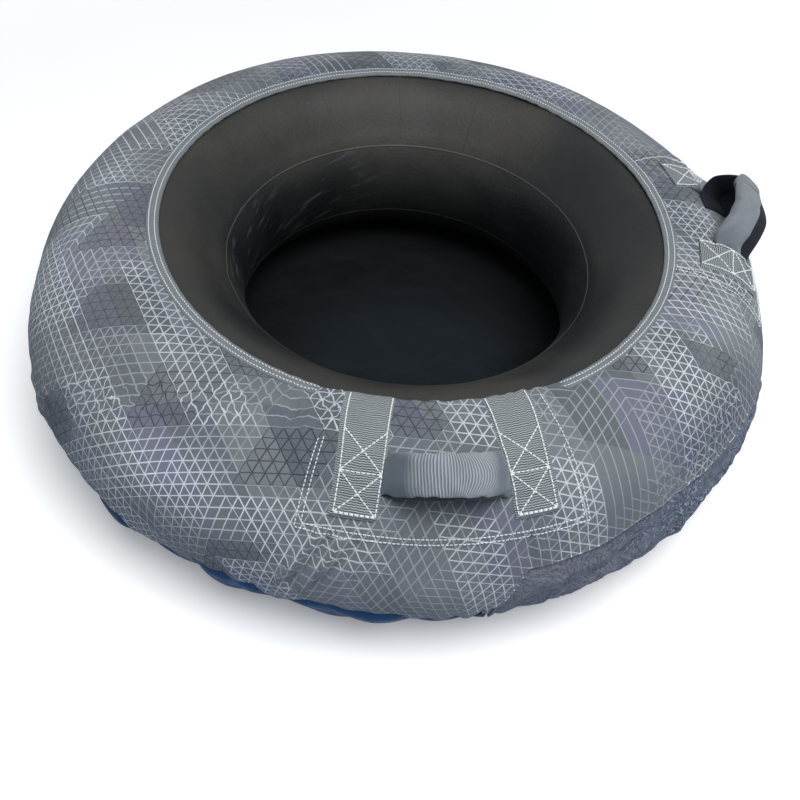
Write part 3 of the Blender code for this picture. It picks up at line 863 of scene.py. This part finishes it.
def handle_place(body, share, across, rise, thickness, arch):
    """A point on a handle: along its arch, across it towards the rim, and out from its middle line.

    Near the arch's ends the band lies down on the cover, under the straps.
    """
    azimuth = handles[body]
    x, z = arch(share)
    before, after = arch(share - 0.01), arch(share + 0.01)
    run = np.hypot(after[0] - before[0], after[1] - before[1])
    x, z = x + (before[1] - after[1]) / run * rise, z + (after[0] - before[0]) / run * rise
    along = np.array([-sin(azimuth), cos(azimuth), 0.0])
    out = np.array([cos(azimuth), sin(azimuth), 0.0])
    up = out * cos(handle_elevation) + np.array([0.0, 0.0, sin(handle_elevation)])
    inward = np.cross(up, along)
    middle = out * hinge_distance + np.array([0.0, 0.0, hinge_height])
    x, z, across, rise = np.broadcast_arrays(x, z, across, rise)
    free = middle + x[..., None] * along + z[..., None] * up + across[..., None] * inward
    turn = azimuth + np.arcsin(x / hinge_distance)
    sewn = cover_point(turn, hinge_angle + across / arc_radius, thickness + rise)
    weight = smooth(0.0, 0.020, arch(share)[1])
    weight = np.broadcast_to(weight, x.shape)[..., None]
    return sewn * (1.0 - weight) + free * weight


def oval(half_width, half_thickness, count, flatness):
    """Across and rise of a rounded band's outline, one row for each place along it."""
    level, upright = np.cos(circle(count)), np.sin(circle(count))
    across = np.sign(level) * np.abs(level) ** flatness * half_width
    return across, np.sign(upright) * np.abs(upright) ** 0.8 * half_thickness


def on_handle(obj, body, slot, *nodes):
    """Hides the given parts of the solid model and bakes the piece's transform into its mesh."""
    if nodes:
        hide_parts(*nodes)
    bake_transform(obj)


def make_core(name, node, body, shift, spread, arch, material):
    """The folded black webbing inside a handle."""
    half_width = 0.0185
    share = np.linspace(-slack_end, slack_end, 90)[:, None]
    rise = arch_rise(share)
    across, lift = oval(half_width, 0.0012 + 0.0016 * rise, 32, 0.55)
    outer = smooth(-0.10, -0.50, share) * smooth(0.2, 1.0, -across / half_width)
    across = across + shift * smooth(0.0, 0.5, rise) - spread * outer
    points = handle_place(body, share, across, lift, 0.0014, arch)
    fields = {"web": stacked(across, share * handle_reach * 1.5, lift)}
    core = skin(name, points, material, fields, around=True, closed=True)
    on_handle(core, body, "black_webbing", node)


def make_flap(name, body, material):
    """The loose half of the folded webbing, which hangs from the band's outer edge and closes its loop."""
    first_share, last_share, last_foot = -0.08, 0.60, 0.62
    share = np.linspace(first_share, last_share, 60)[:, None]
    leaf = np.linspace(0.0, 1.0, 24)

    def filled(value):
        """Between the band and its fold, which come closer towards the flap's last share."""
        way = (value - first_share) / (last_share - first_share)
        foot = slack_end - way * (slack_end - last_foot)
        high, low = slack_arch(value), slack_arch(foot)
        return tuple(first * (1.0 - leaf) + last * leaf for first, last in zip(high, low))

    across = -0.0160 - 0.0040 * np.sin(pi * leaf) * (1.0 + 0.15 * np.sin(9.0 * share + 3.0 * leaf))
    points = handle_place(body, share, across, 0.0, 0.0014, filled)
    flap = skin(name, points, material, {"web": stacked(0.04 * leaf, share * handle_reach, 0.0)})
    on_handle(flap, body, "black_webbing")


def make_sleeve(name, node, body, span, width, depth, shift, seed, arch, material):
    """A padded cloth sleeve over the core, flat where it is sewn down, ruffled along its edges."""
    sides = 48
    share = np.linspace(*span, 150)[:, None]
    rise = arch_rise(share)
    plump = smooth(0.0, 0.45, rise)
    half_width = width[0] + (width[1] - width[0]) * plump
    across, lift = oval(half_width, 0.0014 + (depth - 0.0014) * plump, sides, 0.62)
    point = stacked(share * 0.09 + seed, across, lift)
    edges = np.abs(np.cos(circle(sides))) ** 6
    ruffle = noise(point * np.array([1.0, 0.2, 0.2]), 0.0090)
    ends = 0.35 + 0.65 * smooth(0.72, 0.35, rise)
    swing = shift * plump * (1.0 - 0.75 * smooth(-0.35, 0.25, share))
    across = across * (1.0 + 0.20 * edges * ruffle * ends) + swing
    lift = lift * (1.0 + 0.22 * noise(point, 0.014)) + 0.0007 * noise(point, 0.008)
    lift = lift - 0.9 * (depth - 0.0070) * plump
    points = handle_place(body, share, across, lift, 0.0018, arch)
    fields = {"web": stacked(across, share * handle_reach, lift)}
    sleeve = skin(name, points, material, fields, around=True, closed=True)
    on_handle(sleeve, body, "sleeve_cloth", node)


def ring_round(line, normal, count):
    """Steps of length 1 out from a line to a ring of points round it."""
    along = np.gradient(line, axis=-2)
    along /= np.maximum(np.linalg.norm(along, axis=-1, keepdims=True), 1e-9)
    across = np.cross(along, normal)
    turn = circle(count)[:, None]
    return normal[..., None, :] * np.cos(turn) + across[..., None, :] * np.sin(turn)


def make_stitches(name, lines, material, length=0.0040, pitch=0.0044, radius=0.00075):
    """Short bent threads along each line, dipping into the cloth at both ends."""
    sides = 6
    shares = np.array([0.0, 0.12, 0.5, 0.88, 1.0])
    heights = np.array([-0.0006, 0.0002, 0.0004, 0.0002, -0.0006])
    widths = np.array([0.5, 1.0, 1.0, 1.0, 0.5])
    points, faces, total = [], [], 0
    for line, normals in lines:
        distance = np.append(0.0, np.cumsum(np.linalg.norm(np.diff(line, axis=0), axis=1)))
        count = max(1, int(distance[-1] / pitch))
        where = ((np.arange(count) + 0.1) * distance[-1] / count)[:, None] + length * shares
        middle, normal = (
            np.stack([np.interp(where, distance, column) for column in values.T], axis=-1)
            for values in (line, normals)
        )
        ring = ring_round(middle, normal, sides) * (radius * widths)[:, None, None]
        points.append(((middle + normal * heights[:, None])[..., None, :] + ring).reshape(-1, 3))
        index = total + np.arange(count * len(shares) * sides).reshape(count, -1, sides)
        following = np.roll(index, -1, axis=2)
        quads = np.stack([index[:, :-1], following[:, :-1], following[:, 1:], index[:, 1:]], axis=-1)
        faces += quads.reshape(-1, 4).tolist() + index[:, 0, ::-1].tolist() + index[:, -1].tolist()
        total += index.size
    mesh = bpy.data.meshes.new(name)
    mesh.from_pydata(np.concatenate(points).tolist(), [], faces)
    carried(new_piece(name, mesh, material), "ring", "thread")


def ring_line(azimuths, angles, lift, count=160):
    """A line on the cover through places given in degrees, with its normals."""
    share = np.linspace(0.0, 1.0, count)
    knots = np.linspace(0.0, 1.0, len(azimuths))
    azimuth, angle = (np.radians(np.interp(share, knots, values)) for values in (azimuths, angles))
    return cover_point(azimuth, angle, lift), outward(azimuth, angle)


def binding_lines():
    """Two rows round the binding, left out where the cover is pulled over it."""
    turn = np.degrees(np.linspace(0.0, 2 * pi, 1800))
    hidden = np.flatnonzero(front_fold(np.radians(turn)) > 0.35)
    lines = []
    for offset in (0.0030, 0.0094):
        angle = degrees(rim_angle) - degrees(offset / section_half_width)
        for part in (turn[: hidden[0] + 1], turn[hidden[-1] :]):
            lines.append(ring_line(part, [angle] * len(part), 0.0019, len(part)))
    return lines


def patch_lines(azimuth, tops):
    """Two rows round a reinforcement, a few millimetres apart, open at the rim."""
    outer_low, outer_half, patch_radius = 36.7, 19.4, 0.38
    lines = []
    middle = degrees(azimuth)
    for inset, both in zip((0.0, 0.0052), tops):
        low = outer_low + degrees(inset / arc_radius)
        half = outer_half - degrees(inset / patch_radius)
        for edge, top in zip((middle - half, middle + half), both):
            lines.append(ring_line([edge] * 2, [top, low], 0.0004))
        lines.append(ring_line([middle - half, middle + half], [low] * 2, 0.0004, 320))
    return lines


def strap_lines(azimuth, side, start, middle, end):
    """Rows along both edges, a row across at each box, and a cross in each box."""
    near, far = side * (0.0022 - strap_width / 2), side * (strap_width / 2 - 0.0050)
    low_row = end + 1.7
    top = middle + (middle - low_row) * 1.08
    ways = [((edge, start), (edge, low_row)) for edge in (near, far)]
    ways += [((near, level), (far, level)) for level in (middle, low_row, low_row + 0.35)]
    for low, high in ((low_row, middle), (middle, top)):
        ways += [((near, low), (far, high)), ((far, low), (near, high))]
    lines = []
    for first, last in ways:
        across, angle = np.linspace(first, last, 60).T
        angle = np.radians(angle)
        points = strap_place(azimuth, side, across, angle, strap_thickness + 0.0008 + strap_fold(angle, end))
        lines.append((points, outward(strap_turns(azimuth, side, across, angle), angle)))
    return lines


def edge_bead(name, azimuth, angle, lift, radius, material, slot):
    """A rolled cloth edge along a line on the ring."""
    centre = cover_point(azimuth, angle, lift)
    points = centre[:, None] + radius * ring_round(centre, outward(azimuth, angle), 10)
    # No painted light or shade on the bead's print
    fields = {"cloth": flat_place(azimuth, angle)[:, None], "crumple": 0.0, "shade": 1.0}
    carried(skin(name, points, material, fields, around=True, closed=True), "ring", slot)


def make_cap_ribs(material):
    """Fine grip ribs round the valve's cap, lying on its wall."""
    ribs = 16
    middle = np.mean(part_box("valve_cap"), axis=0)
    first = np.array([1.0, 0.0, 0.0])
    second = np.cross(valve_axis, first)
    sides = circle(3 * ribs)
    radius = 0.00552 + 0.00022 * (np.cos(sides * ribs) > 0)
    shares = np.array([-0.0040, -0.0036, 0.0030, 0.0034])
    scale = np.array([0.97, 1.0, 1.0, 0.97])[:, None] * radius
    ring = scale[..., None] * (np.cos(sides)[:, None] * first + np.sin(sides)[:, None] * second)
    points = middle + shares[:, None, None] * valve_axis + ring
    carried(skin("Valve_cap_ribs", points, material, {}, around=True), "valve_cap", "black_plastic")


def make_floor():
    """A pale floor that takes the object's shadow and fades into white for the camera."""
    mesh = bpy.data.meshes.new("Floor")
    half, height = 6.0, -0.0006
    corners = [(-half, -half, height), (half, -half, height), (half, half, height), (-half, half, height)]
    mesh.from_pydata(corners, [], [(0, 1, 2, 3)])
    look = Look("Pale floor", rgb(246, 247, 248), 0.8)
    coordinates = look.coordinates()
    camera_ray = look.add("LightPath").outputs["Is Camera Ray"]
    seen = look.mix(look.noise(coordinates, 3.0, 3.0), rgb(246, 247, 248), rgb(250, 250, 251))
    look.set("Base Color", look.mix(camera_ray, rgb(182, 194, 212), seen))
    look.set("Emission Color", (1.0, 1.0, 1.0, 1.0))
    x, y, _ = look.split(coordinates)
    away = look.math("SQRT", look.math("MULTIPLY_ADD", x, x, look.times(y, y)))
    look.set("Emission Strength", look.times(camera_ray, look.between(away, 0.8, 2.6, 0.22, 1.0)))
    new_piece("Floor", mesh, look.material)


def make_world():
    """Soft even light, with white behind for the camera, reflections and glass."""
    world = bpy.data.worlds.new("Studio")
    bpy.context.scene.world = world
    nodes = Nodes(world)
    ambient = nodes.tree.nodes["Background"]
    nodes.feed(ambient.inputs["Color"], (0.84, 0.92, 1.0, 1.0))
    nodes.feed(ambient.inputs["Strength"], 0.22)
    white = nodes.add("Background", (1.0, 1.0, 1.0, 1.0))
    path = nodes.add("LightPath").outputs
    seen = nodes.math("MAXIMUM", path["Is Camera Ray"], path["Is Glossy Ray"])
    seen = nodes.math("MAXIMUM", seen, path["Is Transmission Ray"])
    mix = nodes.add("MixShader", seen, ambient.outputs[0], white.outputs[0])
    nodes.feed(nodes.tree.nodes["World Output"].inputs["Surface"], mix.outputs[0])


def make_lamp(name, location, size, power):
    lamp = bpy.data.lights.new(name, "AREA")
    lamp.shape = "DISK"
    lamp.size = size
    lamp.energy = power
    obj = new_object(name, lamp)
    obj.location = location
    obj.rotation_euler = (-Vector(location)).to_track_quat("-Z", "Y").to_euler()


def make_camera():
    """The camera that was fitted to the photograph's outline."""
    eye = Vector((-0.1296, -0.8827, 0.9510))
    target = Vector((-0.0190, -0.1688, 0.1055))
    roll = radians(6.25)
    back = (eye - target).normalized()
    right = Vector((0.0, 0.0, 1.0)).cross(back).normalized()
    up = back.cross(right)
    turned_right = right * cos(roll) + up * sin(roll)
    turned_up = up * cos(roll) - right * sin(roll)
    data = bpy.data.cameras.new("Camera")
    data.sensor_width = 36.0
    data.lens = 42.7
    camera = new_object("Camera", data)
    turn = Matrix((turned_right, turned_up, back)).transposed().to_4x4()
    camera.matrix_world = Matrix.Translation(eye) @ turn
    bpy.context.scene.camera = camera


def make_object():
    print_look = printed_cloth()
    gusset_look = crushed_cloth()
    liner_look = plain_cloth("Dark liner", rgb(21, 29, 34), "cloth", 0.75, 0.002, 0.0014, 0.02)
    sleeve_look = plain_cloth("Sleeve cloth", rgb(126, 132, 138), "web", 0.72, 0.0012, 0.0009, 0.25)
    tape_look = webbing("Binding tape", rgb(80, 86, 92), rgb(136, 142, 146), 0.0012, 0.0002)
    strap_look = webbing("Grey webbing", rgb(70, 77, 83), rgb(158, 164, 166), 0.0022, 0.0006)
    black_look = webbing("Black webbing", rgb(8, 12, 20), rgb(20, 26, 38), 0.0013, 0.0002)
    rubber_look = rubber()
    thread_look = grained(
        "White thread", rgb(226, 231, 233), rgb(196, 203, 207), rgb(244, 247, 248), 1600.0, 2.0, 0.0003, 0.6
    )
    brass_look = grained(
        "Worn brass", rgb(186, 154, 92), rgb(150, 118, 64), rgb(205, 176, 116), 500.0, 4.0, 0.0001, 0.3,
        spread=(0.24, 0.44), metallic=1.0,
    )
    plastic_look = grained(
        "Moulded plastic", rgb(24, 25, 27), rgb(18, 19, 21), rgb(40, 41, 43), 700.0, 3.0, 0.0002, 0.4,
        spread=(0.32, 0.5),
    )

    make_tube(rubber_look)
    make_base(slick_sheet())
    make_seat(liner_look)
    make_cover(print_look)
    make_gusset(gusset_look)
    make_binding(tape_look)

    front, side = handles.values()
    strap_rows = []
    for name, node, azimuth, way, start, middle, end in (
        ("Front_strap_left", "front_anchor_left", front, -1, 101.5, 63.5, 45.0),
        ("Front_strap_right", "front_anchor_right", front, 1, 101.5, 63.5, 45.0),
        ("Side_strap_near", "side_anchor_near", side, -1, 83.5, 65.0, 46.5),
        ("Side_strap_far", "side_anchor_far", side, 1, 83.5, 65.0, 46.5),
    ):
        make_strap(name, node, azimuth, way, start, end, strap_look)
        strap_rows += strap_lines(azimuth, way, start - 1.0, middle, end)

    for name, body, shift, spread, arch in (
        ("Front_handle_core", "front_handle", -0.0035, 0.0, even_arch),
        ("Side_handle_core", "side_handle", 0.0, 0.0100, slack_arch),
    ):
        make_core(name, name.lower(), body, shift, spread, arch, black_look)
    make_flap("Side_handle_flap", "side_handle", black_look)
    make_sleeve(
        "Front_handle_sleeve", "front_grip_sleeve", "front_handle", (-1.14, 1.14), (0.0190, 0.0198),
        0.0070, 0.0005, 0.0, even_arch, ribbed_sleeve(),
    )
    make_sleeve(
        "Side_handle_sleeve", "side_grip_sleeve", "side_handle", (-1.14, 0.22), (0.0195, 0.0190),
        0.0098, 0.0110, 0.3, slack_arch, sleeve_look,
    )
    make_sleeve(
        "Side_handle_tab", "side_sleeve_tab", "side_handle", (0.86, 1.14), (0.0205, 0.0205),
        0.0085, 0.0, 0.6, even_arch, sleeve_look,
    )

    patch_rows = patch_lines(front, ((75.0, 97.0), (76.0, 71.0)))
    patch_rows += patch_lines(side, ((96.5, 97.0), (95.5, 71.0)))
    make_stitches("Binding_stitches", binding_lines(), thread_look, 0.0025, 0.0039, 0.00058)
    make_stitches("Reinforcement_stitches", patch_rows, thread_look, 0.0033, 0.0041, 0.00058)
    make_stitches("Strap_stitches", strap_rows, thread_look)

    span = np.linspace(*np.radians([-82.6, 96.2]), 500)
    edge_bead("Gusset_edge", span, by_azimuth(span, edge_table), -0.0008, 0.0013, print_look, "printed_cloth")
    for name, top, turns in (("front", 20.5, (-82.9, -79.7)), ("back", 36.0, (96.3, 96.3))):
        down = np.radians(np.linspace(top, -20.0, 90))
        turn = np.radians(np.interp(np.degrees(down), (-4.0, 20.5), turns))
        edge_bead("Upright_seam_" + name, turn, down, -0.0012, 0.0016, gusset_look, "plain_cloth")

    for nodes, look in (
        (("valve_patch", "valve_stem"), rubber_look),
        (("valve_insert", "valve_core", "valve_pin"), brass_look),
        (("valve_cap",), plastic_look),
    ):
        for slot in itertools.chain(*(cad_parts[node].material_slots for node in nodes)):
            slot.material = look
    make_cap_ribs(plastic_look)


make_world()
make_lamp("Overhead", (0.30, -0.85, 2.6), 1.9, 78.0)
make_floor()
make_camera()
make_object()
bpy.context.scene.view_settings.view_transform = "Standard"
